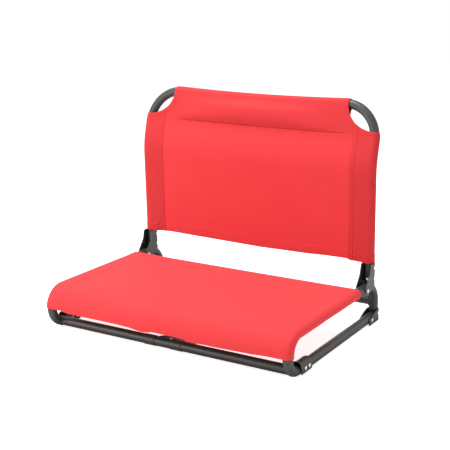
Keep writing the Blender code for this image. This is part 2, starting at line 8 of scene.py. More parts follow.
import bmesh
import bpy
import numpy as np
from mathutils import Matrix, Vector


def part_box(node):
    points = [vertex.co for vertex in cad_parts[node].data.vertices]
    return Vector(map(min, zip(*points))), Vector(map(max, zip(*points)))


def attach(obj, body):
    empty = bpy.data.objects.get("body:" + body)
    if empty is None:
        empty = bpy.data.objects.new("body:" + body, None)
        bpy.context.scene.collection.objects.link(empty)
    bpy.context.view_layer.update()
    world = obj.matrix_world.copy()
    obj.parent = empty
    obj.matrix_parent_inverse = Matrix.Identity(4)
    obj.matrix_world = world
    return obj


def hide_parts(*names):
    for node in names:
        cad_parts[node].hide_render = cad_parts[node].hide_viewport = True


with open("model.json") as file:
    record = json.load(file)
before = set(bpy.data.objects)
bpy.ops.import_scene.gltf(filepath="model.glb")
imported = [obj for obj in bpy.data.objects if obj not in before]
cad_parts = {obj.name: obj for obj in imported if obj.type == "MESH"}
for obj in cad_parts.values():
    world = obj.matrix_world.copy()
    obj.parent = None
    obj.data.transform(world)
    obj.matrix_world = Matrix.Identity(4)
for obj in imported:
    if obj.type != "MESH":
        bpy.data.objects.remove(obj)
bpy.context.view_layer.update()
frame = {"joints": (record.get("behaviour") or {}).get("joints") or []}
JOINTS = {joint["name"]: joint["pos_m"] for joint in frame["joints"]}
SIDES = {"left": -1, "right": 1}

# Stock, as in the part
TUBE_RADIUS = 0.0095
TUBE_WALL = 0.0012
SADDLE_SHEET = 0.0018
SADDLE_MID = 0.0107             # middle of the saddle sheet, from the tube's axis
SADDLE_SEAT = SADDLE_MID + SADDLE_SHEET / 2
SADDLE_QUARTER = SADDLE_MID * math.pi / 2       # a quarter of the sheet's way round the tube
SHEET_EDGE = 0.0004             # rounding of a pressed sheet's edges
SHEET_CORNER = 0.003            # rounding of its outline's corners
CRIMP_STRETCH = 2.6             # a crimp's length over its width
GAP = 0.0003                    # room between neighbours
STUB_GAP = 0.001                # between the front stub and the floor tube

# Places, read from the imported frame
_, PIVOT_Y, RAIL_Z = JOINTS["back_fold"]
_, BAR_Y, BAR_Z = JOINTS["handle_swing"]
side_low, side_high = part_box("right_side_frame")
HALF_SPAN = (side_low[0] + side_high[0]) / 2
FRONT_LEG_Y = side_low[1] + TUBE_RADIUS
REAR_LEG_Y = side_high[1] - TUBE_RADIUS
FLOOR_AXIS = TUBE_RADIUS

# Bends, at the tubes' axes
LOWER_BEND = 0.034
FRONT_BEND = 0.035
REAR_BEND = 0.040
KINK_BEND = 0.150
BACK_BEND = 0.070

# Back tube, from the pivot
BACK_LEAN = math.radians(2.2)
BACK_KINK = math.radians(16.5)
BACK_OFFSET = 0.0330
BACK_FOOT = 0.0105
KINK_HEIGHT = 0.248
UPPER_LENGTH = 0.118

# Rivets
SHANK = 0.0024                  # radii and heights
HEAD = 0.0046
HEAD_BREAK = 0.0003             # broken edge under the domed head
HEAD_HEIGHT = 0.0022
SET_HEAD = 0.0038
SET_HEIGHT = 0.0015
WEB_RIVET_HEIGHT = 0.0148       # above the pivot
RIVET_SIDES = 32

# Cloth
CLOTH = 0.0007
SLEEVE = 0.0102                 # middle of the cloth, from the tube's axis
LAYER = 0.0010                  # between the middles of two layers sewn together
HEM_WIDTH = 0.015
HEM_RISE = 0.0005               # a doubled hem stands this much prouder
HEM_TURN = 0.0015
HEM_SEAM = HEM_WIDTH - 0.002    # a hem's stitches, from the edge
SEAM_END = 0.002                # a seam's stitches stop this far from the edge
SEAT_SEAM = 0.030
SEAT_SETBACK = 0.0004           # the seams draw the face in by this
SEAT_SAG = 0.0005
SEAT_REAR = 0.032               # rear hem ahead of the pivot
SEAT_APRON = 0.002              # front hem below the front bend
HEM_ACROSS = (-0.276, -0.238, -0.210, -0.100, -0.070, -0.044, -0.031, -0.018,
              0.047, 0.060, 0.071, 0.095, 0.125, 0.200, 0.228, 0.276)
HEM_HANG = (-0.0042, -0.0042, -0.0018, -0.0016, -0.0005, 0.0029, 0.0024, -0.0010,
            -0.0009, 0.0025, 0.0031, 0.0018, 0.0016, -0.0004, -0.0023, -0.0026)
HANG_FADE = 0.045               # a hem's uneven hang dies out this far up
BACK_HEM = 0.051
BACK_SEAM = 0.043
BACK_TOP_SEAM = 0.061
BACK_SETBACK = 0.0025
BACK_SAG = 0.0020
BACK_DOUBLED = 0.010            # width of the doubled cloth beside each side seam
BACK_HEM_ACROSS = (-0.262, -0.250, -0.222, -0.190, -0.140, -0.080, 0.020, 0.060,
                   0.130, 0.165, 0.218, 0.230, 0.246, 0.258, 0.263)
BACK_HEM_HANG = (0.0, -0.0008, -0.0026, -0.0024, -0.0011, 0.0, 0.0018, 0.0009,
                 -0.0002, -0.0022, -0.0033, -0.0005, -0.0018, 0.0005, 0.0)
TOP_BOW = 0.0040                # the top bar's middle lies this much low
SCOOP_DROP = 0.053              # the top corners are cut to quarter ellipses of this height
SCOOP_REACH = 0.060             # and this width
TOP_SEAM_MIDDLE = 0.0075        # the top seam's visible part, across
TOP_SEAM_HALF = 0.1975

# Thread
STITCH = 0.0034
STITCH_PITCH = 0.0044
THREAD = 0.00035                # radius

# Carry handle
HANDLE_X = -0.012
HANDLE_SPACING = 0.060
STRAP = 0.025
STRAP_SHEET = 0.0006
STRAP_Z = 0.0020                # middle of the strap where it lies on the floor
STRAP_LIFT = 0.0010             # a strap lying on another
HANDLE_REACH = 0.070
TAB_END = 0.040                 # the loop's sewn end, behind the bar's axis
TAB_JOINT = 0.026               # and where it leaves the strap below
LOOP = BAR_Z - STRAP_Z          # radius round the bar

# Fineness
TUBE_SIDES = 40
BEND_STEP = math.radians(4)
RUN_STEP = 0.008
JOIN = 2e-6                     # points closer than this are one
CREASE = math.radians(45)       # a sharper angle is shaded as an edge
ROUNDED = math.radians(50)      # a sharper one gets a rounded edge


# ---------------------------------------------------------------- finishes

def linear(code):
    """A #RRGGBB colour as linear RGBA."""
    srgb = np.array([int(code[at:at + 2], 16) for at in (1, 3, 5)]) / 255
    rgb = np.where(srgb <= 0.04045, srgb / 12.92, ((srgb + 0.055) / 1.055) ** 2.4)
    return (*rgb, 1.0)


def add_node(tree, kind, output, inputs, **settings):
    """A node with its settings, of which one output is given; an input takes a value or another's output."""
    made = tree.nodes.new("ShaderNode" + kind)
    for name, value in settings.items():
        setattr(made, name, value)
    for socket, value in inputs.items():
        if isinstance(value, bpy.types.NodeSocket):
            tree.links.new(value, made.inputs[socket])
        else:
            made.inputs[socket].default_value = value
    return None if output is None else made.outputs[output]


def new_material(name, finish, *facts):
    """A material whose surface a finish works out in its node tree."""
    made = bpy.data.materials.new(name)
    made.use_nodes = True
    tree = made.node_tree
    tree.nodes.clear()
    add_node(tree, "OutputMaterial", None, {"Surface": finish(tree, *facts)})
    return made


MIX_A, MIX_B, MIX_OUT = 6, 7, 2         # colour sockets of a Mix node
FLOAT_A, FLOAT_B, FLOAT_OUT = 2, 3, 0   # number sockets of a Mix node
WAVE = 2 * math.pi / 20                 # a Wave texture of this scale repeats once a metre


def powder_coated_steel(tree):
    """Sprayed and baked polyester powder: charcoal, satin, with a faint orange-peel ripple."""
    peel_size, blotch_size = 0.0016, 0.050
    where = add_node(tree, "TexCoord", "Object", {})
    peel = add_node(tree, "TexNoise", "Fac", {"Vector": where, "Scale": 1 / peel_size, "Detail": 2.0})
    blotch = add_node(tree, "TexNoise", "Fac", {"Vector": where, "Scale": 1 / blotch_size, "Detail": 4.0})
    tone = add_node(tree, "Mix", MIX_OUT, {
        "Factor": blotch, MIX_A: linear("#31312F"), MIX_B: linear("#3D3D3B"),
    }, data_type="RGBA")
    gloss = add_node(tree, "MapRange", "Result", {
        "Value": blotch, "From Min": 0.3, "From Max": 0.7, "To Min": 0.30, "To Max": 0.40,
    })
    ripple = add_node(tree, "Bump", "Normal", {"Height": peel, "Strength": 0.12, "Distance": 0.0004})
    return add_node(tree, "BsdfPrincipled", "BSDF", {
        "Base Color": tone, "Roughness": gloss, "IOR": 1.5, "Normal": ripple,
    })


def zinc_plated_steel(tree):
    """Cold-headed steel, zinc plated: bright, slightly hazy, with fine marks from the setting tool."""
    mark_size = 0.0006
    where = add_node(tree, "TexCoord", "Object", {})
    marks = add_node(tree, "TexNoise", "Fac", {"Vector": where, "Scale": 1 / mark_size, "Detail": 3.0})
    tone = add_node(tree, "Mix", MIX_OUT, {
        "Factor": marks, MIX_A: linear("#CACAC6"), MIX_B: linear("#E4E4E1"),
    }, data_type="RGBA")
    gloss = add_node(tree, "MapRange", "Result", {
        "Value": marks, "From Min": 0.3, "From Max": 0.7, "To Min": 0.20, "To Max": 0.34,
    })
    return add_node(tree, "BsdfPrincipled", "BSDF", {"Base Color": tone, "Roughness": gloss, "Metallic": 1.0})


def polyester_canvas(tree, across_from, across_shade, up_from, up_shade):
    """Plain-woven coated polyester: matt red, thread over thread, with a soft sheen and slight mottle.

    The threads lie 0.6 mm apart in truth and are drawn 1.2 mm apart so that they show. Past a seam, across
    or up, the cloth lies over its own flap and the tube, so less light comes through: this is painted shade,
    a darker red put into the colour. The top seam's allowance hangs behind the cloth for 20 mm, so that side
    of the painted shade fades.
    """
    thread_pitch, mottle_size = 0.0012, 0.070
    seam_edge, allowance, above_seam = 0.0005, 0.020, 0.002
    where = add_node(tree, "TexCoord", "UV", {})
    threads = {"Vector": where, "Scale": WAVE / thread_pitch}
    warp = add_node(tree, "TexWave", "Fac", threads, bands_direction="X")
    weft = add_node(tree, "TexWave", "Fac", threads, bands_direction="Y")
    over = add_node(tree, "TexChecker", "Fac", {"Vector": where, "Scale": 1 / thread_pitch})
    weave = add_node(tree, "Mix", FLOAT_OUT, {"Factor": over, FLOAT_A: warp, FLOAT_B: weft})
    mottle = add_node(tree, "TexNoise", "Fac", {"Vector": where, "Scale": 1 / mottle_size, "Detail": 5.0})
    ground = add_node(tree, "Mix", MIX_OUT, {
        "Factor": mottle, MIX_A: linear("#E03034"), MIX_B: linear("#E8363B"),
    }, data_type="RGBA")
    place = add_node(tree, "SeparateXYZ", "X", {"Vector": where}).node.outputs
    # painted shade: a darker red beside the side seams and above the top seam, for light the doubled cloth
    # and tube keep out
    across = add_node(tree, "Math", 0, {0: place["X"]}, operation="ABSOLUTE")
    beside = add_node(tree, "MapRange", "Result", {
        "Value": across, "From Min": across_from - seam_edge, "From Max": across_from + seam_edge,
        "To Max": across_shade,
    })
    above = add_node(tree, "MapRange", "Result", {
        "Value": place["Y"], "From Min": up_from - allowance, "From Max": up_from + above_seam,
        "To Max": up_shade,
    })
    painted_shade = add_node(tree, "Math", 0, {0: beside, 1: above}, operation="MAXIMUM")
    # the painted shade's darker red, mixed into the ground colour
    deep = add_node(tree, "Mix", MIX_OUT, {
        "Factor": painted_shade, MIX_A: ground, MIX_B: linear("#B0121B"),
    }, data_type="RGBA")
    shade = add_node(tree, "MapRange", "Result", {"Value": weave, "To Min": 0.10, "To Max": 0.0})
    tone = add_node(tree, "Mix", MIX_OUT, {
        "Factor": shade, MIX_A: deep, MIX_B: linear("#B01A22"),
    }, data_type="RGBA")
    relief = add_node(tree, "Bump", "Normal", {"Height": weave, "Strength": 0.35, "Distance": 0.0003})
    return add_node(tree, "BsdfPrincipled", "BSDF", {
        "Base Color": tone, "Roughness": 0.78, "IOR": 1.45,
        "Sheen Weight": 0.05, "Sheen Roughness": 0.45, "Normal": relief,
    })


def polyester_thread(tree):
    """Twisted sewing thread, dyed to the canvas; its fine twist is painted in lighter bands, a painted
    highlight along the ply.
    """
    twist = 0.0006
    where = add_node(tree, "TexCoord", "Object", {})
    twist_highlight = add_node(tree, "TexWave", "Fac", {"Vector": where, "Scale": WAVE / twist},
                   bands_direction="DIAGONAL")
    # painted highlight: the twist's bands lighter and darker in the colour
    tone = add_node(tree, "Mix", MIX_OUT, {
        "Factor": twist_highlight, MIX_A: linear("#D0343A"), MIX_B: linear("#F0484E"),
    }, data_type="RGBA")
    return add_node(tree, "BsdfPrincipled", "BSDF", {
        "Base Color": tone, "Roughness": 0.55, "IOR": 1.45, "Sheen Weight": 0.1,
    })


def nylon_webbing(tree):
    """Woven nylon strap: charcoal, ribbed along its length, crossed by fine picks, with a low sheen."""
    rib_pitch, pick_pitch, picks_share = 0.0025, 0.0012, 0.4
    where = add_node(tree, "TexCoord", "UV", {})
    ribs, picks = (
        add_node(tree, "TexWave", "Fac", {"Vector": where, "Scale": WAVE / pitch}, bands_direction=way)
        for pitch, way in ((rib_pitch, "X"), (pick_pitch, "Y")))
    weave = add_node(tree, "Mix", FLOAT_OUT, {"Factor": picks_share, FLOAT_A: ribs, FLOAT_B: picks})
    tone = add_node(tree, "Mix", MIX_OUT, {
        "Factor": weave, MIX_A: linear("#323230"), MIX_B: linear("#403F3D"),
    }, data_type="RGBA")
    relief = add_node(tree, "Bump", "Normal", {"Height": weave, "Strength": 0.25, "Distance": 0.0004})
    return add_node(tree, "BsdfPrincipled", "BSDF", {
        "Base Color": tone, "Roughness": 0.38, "IOR": 1.5, "Sheen Weight": 0.03, "Normal": relief,
    })


STEEL = new_material("powder_coated_steel", powder_coated_steel)
ZINC = new_material("zinc_plated_steel", zinc_plated_steel)
SEWING = new_material("polyester_thread", polyester_thread)
WEB = new_material("nylon_webbing", nylon_webbing)


# ---------------------------------------------------------------- surfaces

def unit(vectors):
    """Vectors brought to length one."""
    vectors = np.asarray(vectors, float)
    return vectors / np.linalg.norm(vectors, axis=-1, keepdims=True)


def ease(x):
    """A smooth step from 0 to 1 between x = 0 and x = 1, level at both ends."""
    x = np.clip(x, 0.0, 1.0)
    return x * x * (3 - 2 * x)


def draw(x):
    """How far a seam draws the cloth in, from 0 at the tube to 1 at the seam.

    A hyperbola: level at first, then straight.
    """
    level = 0.25
    return (np.hypot(np.clip(x, 0.0, 1.0), level) - level) / (math.hypot(1.0, level) - level)


def bump(x, width):
    """A smooth bell of height 1 at x = 0."""
    return np.exp(-(x / width) ** 2)


def running_length(line):
    """Distance along a line of points, from its first."""
    return np.concatenate([[0.0], np.cumsum(np.linalg.norm(np.diff(line, axis=0), axis=-1))])


def along_line(at, length, values):
    """A line's values at distances along it, straight between its points."""
    return np.stack([np.interp(at, length, column) for column in values.T], -1)


def round_angles(count):
    """Angles of points spread evenly round a circle."""
    return np.arange(count) * 2 * math.pi / count


def both_halves(half, flip):
    """A line's right half with its mirror image before it; flip turns the values over."""
    return np.concatenate([half[:0:-1] * flip, half])


def middle(node):
    """Middle of a CAD node's box."""
    low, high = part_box(node)
    return (np.array(low) + np.array(high)) / 2


def patch(points, uv=None, closed_rows=False, closed_columns=False):
    """Points, faces and UVs of one or more grids alike; the last three axes are rows, columns and xyz."""
    rows, columns = points.shape[-3:-1]
    row, column = np.meshgrid(np.arange(rows - (not closed_rows)),
                              np.arange(columns - (not closed_columns)), indexing="ij")
    next_row, next_column = (row + 1) % rows, (column + 1) % columns
    faces = np.stack([row * columns + column, row * columns + next_column,
                      next_row * columns + next_column, next_row * columns + column], -1).reshape(-1, 4)
    copies = points.reshape(-1, rows * columns, 3)
    faces = faces + np.arange(len(copies))[:, None, None] * rows * columns
    flat = np.zeros(points.shape[:-1] + (2,)) if uv is None else np.broadcast_to(uv, points.shape[:-1] + (2,))
    return points.reshape(-1, 3), faces.reshape(-1, 4), flat.reshape(-1, 2)


def piece(name, patches, material, body, stands_for=(), sheet=0.0, edge=0.0):
    """One object from patches: joined where they touch, given its sheet thickness and rounded edges."""
    first = np.cumsum([0] + [len(points) for points, _, _ in patches])
    points = np.concatenate([part[0] for part in patches])
    faces = np.concatenate([part[1] + start for part, start in zip(patches, first)])
    uv = np.concatenate([part[2] for part in patches])
    mesh = bpy.data.meshes.new(name)
    mesh.vertices.add(len(points))
    mesh.vertices.foreach_set("co", points.astype(np.float32).ravel())
    mesh.loops.add(faces.size)
    mesh.loops.foreach_set("vertex_index", faces.astype(np.int32).ravel())
    mesh.polygons.add(len(faces))
    mesh.polygons.foreach_set("loop_start", np.arange(0, faces.size, 4, dtype=np.int32))
    mesh.uv_layers.new(name="flat").data.foreach_set("uv", uv[faces.ravel()].astype(np.float32).ravel())
    mesh.update(calc_edges=True)
    work = bmesh.new()
    work.from_mesh(mesh)
    bmesh.ops.remove_doubles(work, verts=work.verts, dist=JOIN)
    work.to_mesh(mesh)
    work.free()
    mesh.shade_smooth()
    mesh.set_sharp_from_angle(angle=CREASE)
    mesh.materials.append(material)
    made = bpy.data.objects.new(name, mesh)
    bpy.context.scene.collection.objects.link(made)
    if sheet:
        wall = made.modifiers.new("sheet", "SOLIDIFY")
        wall.thickness, wall.offset = sheet, 0.0
        wall.use_even_offset = True
    if edge:
        rounding = made.modifiers.new("edge", "BEVEL")
        rounding.width, rounding.segments, rounding.limit_method = edge, 2, "ANGLE"
        rounding.angle_limit = ROUNDED
        rounding.harden_normals = True
    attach(made, body)
    if stands_for:
        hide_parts(*stands_for)
    return made


# ---------------------------------------------------------------- tubes

def bent_path(corners, bends):
    """Points along straight runs whose corners are rounded by arcs of the given bend radii."""
    corners = np.asarray(corners, float)
    stops = [corners[:1]]
    for before, corner, after, radius in zip(corners, corners[1:], corners[2:], bends):
        into, out = unit(corner - before), unit(after - corner)
        turn = math.acos(into @ out)
        start = corner - into * radius * math.tan(turn / 2)
        inward = unit(out - into * (into @ out))
        angle = np.linspace(0, turn, 1 + math.ceil(turn / BEND_STEP))[:, None]
        stops.append(start + inward * radius * (1 - np.cos(angle)) + into * radius * np.sin(angle))
    stops.append(corners[-1:])
    path = [stops[0]]
    for arc, following in zip(stops, stops[1:]):
        run = following[0] - arc[-1]
        count = max(1, round(np.linalg.norm(run) / RUN_STEP))
        path.append(arc[-1] + run * np.linspace(0, 1, count + 1)[1:, None])
        path.append(following[1:])
    return np.concatenate(path)


def path_directions(path):
    """Direction along a path at each of its points."""
    step = unit(np.diff(path, axis=0))
    return unit(np.concatenate([step[:1], step[:-1] + step[1:], step[-1:]]))


def carried_frame(path):
    """Two directions square to a path, carried along it with no twist, the first beginning near +X."""
    along = path_directions(path)
    across = np.empty_like(path)
    held = np.array([1.0, 0.0, 0.0])
    for at, direction in enumerate(along):
        held = unit(held - direction * (held @ direction))
        across[at] = held
    return across, np.cross(along, across)


def ring_rows(path, radius):
    """Circles of the given radius, square to a path at each of its points."""
    across, up = carried_frame(path)
    angle = round_angles(TUBE_SIDES)[:, None]
    spokes = across[:, None] * np.cos(angle) + up[:, None] * np.sin(angle)
    return path[:, None] + spokes * radius


def tube(name, path, body, node):
    """A tube: outer circles from the path's start to its end, inner ones back, closed into one skin."""
    outer = ring_rows(path, TUBE_RADIUS)
    inner = ring_rows(path, TUBE_RADIUS - TUBE_WALL)[::-1]
    skin = patch(np.concatenate([outer, inner]), closed_rows=True, closed_columns=True)
    piece(name, [skin], STEEL, body, [node])


def leaned(points):
    """Points of the upright back, turned forward about the pivot to where the back stands."""
    x, y, z = np.moveaxis(np.asarray(points, float), -1, 0)
    y, z = y - PIVOT_Y, z - RAIL_Z
    cos, sin = math.cos(BACK_LEAN), math.sin(BACK_LEAN)
    return np.stack([x, PIVOT_Y + y * cos - z * sin, RAIL_Z + y * sin + z * cos], -1)


def side_frame(label, side):
    """Rear leg, rail, front leg and floor stub in one bent tube."""
    x = side * HALF_SPAN
    stub_low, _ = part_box(f"{label}_lower_tube")
    path = bent_path([
        (x, REAR_LEG_Y, side_low[2]), (x, REAR_LEG_Y, RAIL_Z), (x, FRONT_LEG_Y, RAIL_Z),
        (x, FRONT_LEG_Y, FLOOR_AXIS), (x, stub_low[1] - STUB_GAP, FLOOR_AXIS),
    ], [REAR_BEND, FRONT_BEND, LOWER_BEND])
    tube(f"{label}_side_frame_tube", path, "base", f"{label}_side_frame")


def lower_tube(label, side):
    """A straight tube along the floor, as long as the CAD one."""
    low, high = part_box(f"{label}_lower_tube")
    x = side * HALF_SPAN
    path = bent_path([(x, low[1], FLOOR_AXIS), (x, high[1], FLOOR_AXIS)], [])
    tube(f"{label}_floor_tube", path, "base", f"{label}_lower_tube")


def cope(y, z):
    """How far from the middle a cross bar's skin meets the side frames' bent tubes, at a place y, z.

    The tube's half width, by a circle, where y, z lies away from the axis of its lower front or rear bend.
    """
    least = 0.003
    front_y, front_z = FRONT_LEG_Y + LOWER_BEND, FLOOR_AXIS + LOWER_BEND
    rear_y, rear_z = REAR_LEG_Y - REAR_BEND, RAIL_Z - REAR_BEND
    front = np.where(y < front_y, np.hypot(y - front_y, z - front_z) - LOWER_BEND, FLOOR_AXIS - z)
    rear = np.where(z > rear_z, np.hypot(y - rear_y, z - rear_z) - REAR_BEND, y - REAR_LEG_Y)
    away = np.where(y < 0, front, rear)
    return HALF_SPAN - np.sqrt(np.maximum(TUBE_RADIUS ** 2 - away ** 2, least ** 2))


def cross_bar(node):
    """A straight tube whose ends are coped to the side frames, with a rippled weld bead round each."""
    axis = middle(node)
    angle = round_angles(TUBE_SIDES)
    y, z = axis[1] + TUBE_RADIUS * np.cos(angle), axis[2] + TUBE_RADIUS * np.sin(angle)
    share = np.concatenate([[-1.0], np.linspace(-0.98, 0.98, 41), [1.0]])[:, None]
    outer = np.stack(np.broadcast_arrays(share * cope(y, z), y, z), -1)
    inner = outer * [1, 0, 0] + (axis + (outer - axis) * (1 - TUBE_WALL / TUBE_RADIUS)) * [0, 1, 1]
    skin = patch(np.concatenate([outer, inner[::-1]]), closed_rows=True, closed_columns=True)
    piece(f"{node}_tube", [skin], STEEL, "base", [node])

    bead_radius, ripple, ripples, proud, inset = 0.0010, 0.00012, 22, 0.0004, 0.0008
    bead_angle = round_angles(120)
    bead_size = bead_radius + ripple * np.sin(ripples * bead_angle)
    section = round_angles(12)[:, None]
    outward = np.stack([0 * bead_angle, np.cos(bead_angle), np.sin(bead_angle)], -1)
    for label, side in SIDES.items():
        root = axis + outward * (TUBE_RADIUS + proud)
        root[:, 0] = side * (cope(root[:, 1], root[:, 2]) - inset)
        swell = outward[:, None] * np.cos(section) + np.array([side, 0.0, 0.0]) * np.sin(section)
        bead = root[:, None] + swell * bead_size[:, None, None]
        bead = bead if side < 0 else bead[::-1]
        piece(f"{label}_{node}_weld", [patch(bead, closed_rows=True, closed_columns=True)],
              STEEL, "base")


def back_line():
    """Side tube's axis in the leaned back's middle plane, from its foot to the top bar's axis."""
    y = PIVOT_Y + BACK_OFFSET
    kink = (0.0, y, RAIL_Z + KINK_HEIGHT)
    top = (0.0, y + UPPER_LENGTH * math.sin(BACK_KINK), kink[2] + UPPER_LENGTH * math.cos(BACK_KINK))
    return [(0.0, y, RAIL_Z + BACK_FOOT), kink, top]


def top_bow(x):
    """How far the top bar and its sleeve lie low at a place across: a parabola between the bends."""
    return TOP_BOW * np.clip(1 - (x / (HALF_SPAN - BACK_BEND)) ** 2, 0, None)


def bend_drift(past):
    """How far a top bend has left the straight, a distance past its start: a circle's fall."""
    most = 0.9 * BACK_BEND              # short of where the circle turns straight down
    past = np.clip(past, 0, most)
    return BACK_BEND - np.sqrt(BACK_BEND ** 2 - past ** 2)


def back_frame():
    """An upside-down U of tube, kinked back, its top corners bent in the upper part's plane."""
    foot, kink, top = (np.array(point) for point in back_line())
    out = np.array([HALF_SPAN, 0.0, 0.0])
    corners = [foot - out, kink - out, top - out, top + out, kink + out, foot + out]
    path = leaned(bent_path(corners, [KINK_BEND, BACK_BEND, BACK_BEND, KINK_BEND]))
    path = path - top_bow(path[:, :1]) * unit(leaned(top) - leaned(kink))
    tube("back_frame_tube", path, "back", "back_frame")


# ---------------------------------------------------------------- saddles and rivets

def pressed(name, points, body, node):
    """A pressed steel sheet from the grid of its middle surface."""
    piece(name, [patch(points)], STEEL, body, [node], sheet=SADDLE_SHEET, edge=SHEET_EDGE)


def folded(across, depth):
    """A flat blank folded round a tube: its middle on the far side, its flanges running towards -depth.

    across is the distance from the blank's middle line, depth the tube axis' place.
    Gives the sideways place, the place along depth, and the sheet's outward normal in those two.
    """
    angle = np.clip(np.abs(across), 0, SADDLE_QUARTER) / SADDLE_MID
    flange = np.maximum(np.abs(across) - SADDLE_QUARTER, 0)
    side = np.sign(across)
    sideways = side * SADDLE_MID * np.sin(angle)
    deep = depth + SADDLE_MID * np.cos(angle) - flange
    return sideways, deep, side * np.sin(angle), np.cos(angle)


def dents(across, along, places, depth, radius):
    """Pressed crimps in a blank, at (distance from the middle line, distance along), longer across.

    Each is an oval, full within half its radius and eased out at one and a half.
    """
    total = np.zeros(np.broadcast(across, along).shape)
    for place_across, place_along in places:
        away = np.hypot((np.abs(across) - place_across) / CRIMP_STRETCH, along - place_along)
        total += depth * ease(1.5 - away / radius)
    return total


def corner_round(x, radius):
    """How far an outline falls back at a distance x from a corner rounded by a radius."""
    x = np.clip(x, 0, radius)
    return radius - np.sqrt(np.maximum(radius ** 2 - (radius - x) ** 2, 0))


def rear_saddle(label, side):
    """A channel wrapped round the rear leg's foot, its flanges riveted to the floor tube.

    For each distance across the blank, the sheet runs from the floor to the outline's top edge.
    """
    reach, front_top, top, bottom = 0.045, 0.0030, 0.0150, -0.0092
    shoulder, shoulder_half, shoulder_drop, low_corner = 0.012, 0.006, 0.0023, 0.002
    crimp_height, crimp_depth, crimp_radius = 0.005, 0.0022, 0.0030
    closer = 0.004                      # columns lie closer this near the front edge
    half = SADDLE_QUARTER + reach
    near_edge = half - closer * (1 - np.cos(np.linspace(0, math.pi / 2, 8)))
    between = np.linspace(-half + closer, half - closer, 151)[1:-1]
    across = np.concatenate([-near_edge, between, near_edge[::-1]])
    from_front = half - np.abs(across)
    bend = reach - shoulder
    high = np.interp(from_front, [0, bend - shoulder_half, bend + shoulder_half, half],
                     [front_top, top - shoulder_drop, top, top])
    high = high - corner_round(from_front, SHEET_CORNER)
    low = bottom + corner_round(from_front, low_corner)
    along = low + (high - low) * np.linspace(0, 1, 40)[:, None]
    sideways, deep, out_side, out_deep = folded(across, 0.0)
    corner = SADDLE_MID * math.radians(55)
    press = dents(across, along, [(corner, crimp_height)], crimp_depth, crimp_radius)
    points = np.stack([
        side * HALF_SPAN + sideways - out_side * press,
        REAR_LEG_Y + deep - out_deep * press,
        FLOOR_AXIS + along,
    ], -1)
    pressed(f"{label}_rear_channel", points[:, ::-1], "base", f"{label}_rear_saddle")


def front_saddle(label, side):
    """An arch over the joint of stub and floor tube, flared in front to clear the bend.

    For each distance across the blank, the sheet runs from the front edge to the rear one. Its inner flange
    is cut back round the front bar.
    """
    above_tube, off_floor = 0.003, 0.003
    flare_low, flare_more, flare_from, flare_over, flare_length = 0.0006, 0.0028, 0.016, 0.006, 0.009
    arch_z = FLOOR_AXIS + above_tube
    low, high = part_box(f"{label}_front_saddle")
    half = SADDLE_QUARTER + arch_z - off_floor
    across = np.linspace(-half, half, 121)
    sideways, deep, out_side, out_deep = folded(across, arch_z)
    inner = side * sideways < 0
    rise = np.maximum(deep, BAR_Z) - BAR_Z
    clear = TUBE_RADIUS + 2 * GAP
    round_bar = BAR_Y + np.sqrt(np.maximum(clear ** 2 - rise ** 2, 0)) + SADDLE_SHEET / 4
    from_edge = half - np.abs(across)
    start = np.where(inner & (rise < clear), np.maximum(round_bar, low[1]), low[1])
    start = start + corner_round(from_edge, SHEET_CORNER)
    stop = high[1] - corner_round(from_edge, SHEET_CORNER)
    along = start + (stop - start) * np.linspace(0, 1, 36)[:, None]
    flare = flare_low + flare_more * ease((deep - flare_from) / flare_over)
    flare = flare * ease(1 - (along - start) / flare_length)
    points = np.stack([side * HALF_SPAN + sideways + out_side * flare, along, deep + out_deep * flare], -1)
    pressed(f"{label}_front_arch", points, "base", f"{label}_front_saddle")


def tangent_angle(point, radius, turn):
    """Angle on a circle about the origin where a line from a point outside touches it."""
    return math.atan2(point[1], point[0]) + turn * math.acos(radius / math.hypot(*point))


def hinge_saddle(label, side):
    """A channel that hugs the back tube, with flanges running forward to a round nose at the pivot.

    Each row of the blank runs straight from a point of the flanges' front edge to the web's middle line.
    """
    nose, top, front, web_foot = 0.0095, 0.0495, 0.0170, 0.0045
    knee = (0.0118, 0.0298)             # clears the seat's rear hem when the back is folded
    crimp_low, crimp_high, crimp_depth, crimp_radius = 0.0150, 0.0375, 0.0024, 0.0026
    web_low = (BACK_OFFSET + SADDLE_MID, web_foot)
    start = tangent_angle(web_low, nose, -1) + 2 * math.pi
    angle = np.linspace(start, tangent_angle(knee, nose, 1), 30)
    round_nose = nose * np.stack([np.cos(angle), np.sin(angle)], -1)
    edge = np.concatenate([round_nose, np.linspace(round_nose[-1], knee, 42)[1:],
                           np.linspace(knee, (front, top), 30)[1:]])
    edge[:, 0] += corner_round(top - edge[:, 1], SHEET_CORNER)
    share = running_length(edge)
    web_high = np.interp(share / share[-1], [0, 1], [web_foot, top])
    reach = SADDLE_QUARTER + BACK_OFFSET - edge[:, 0]
    mix = np.linspace(-1, 1, 181)
    across = reach[:, None] * mix
    along = web_high[:, None] + (edge[:, 1] - web_high)[:, None] * np.abs(mix)
    sideways, deep, out_side, out_deep = folded(across, BACK_OFFSET)
    corner = SADDLE_MID * math.radians(60)
    press = dents(across, along, [(corner, crimp_low), (corner, crimp_high)], crimp_depth, crimp_radius)
    points = leaned(np.stack([
        side * HALF_SPAN + sideways - out_side * press,
        PIVOT_Y + deep - out_deep * press,
        RAIL_Z + along,
    ], -1))
    pressed(f"{label}_hinge_channel", points[:, ::-1], "back", f"{label}_hinge_saddle")


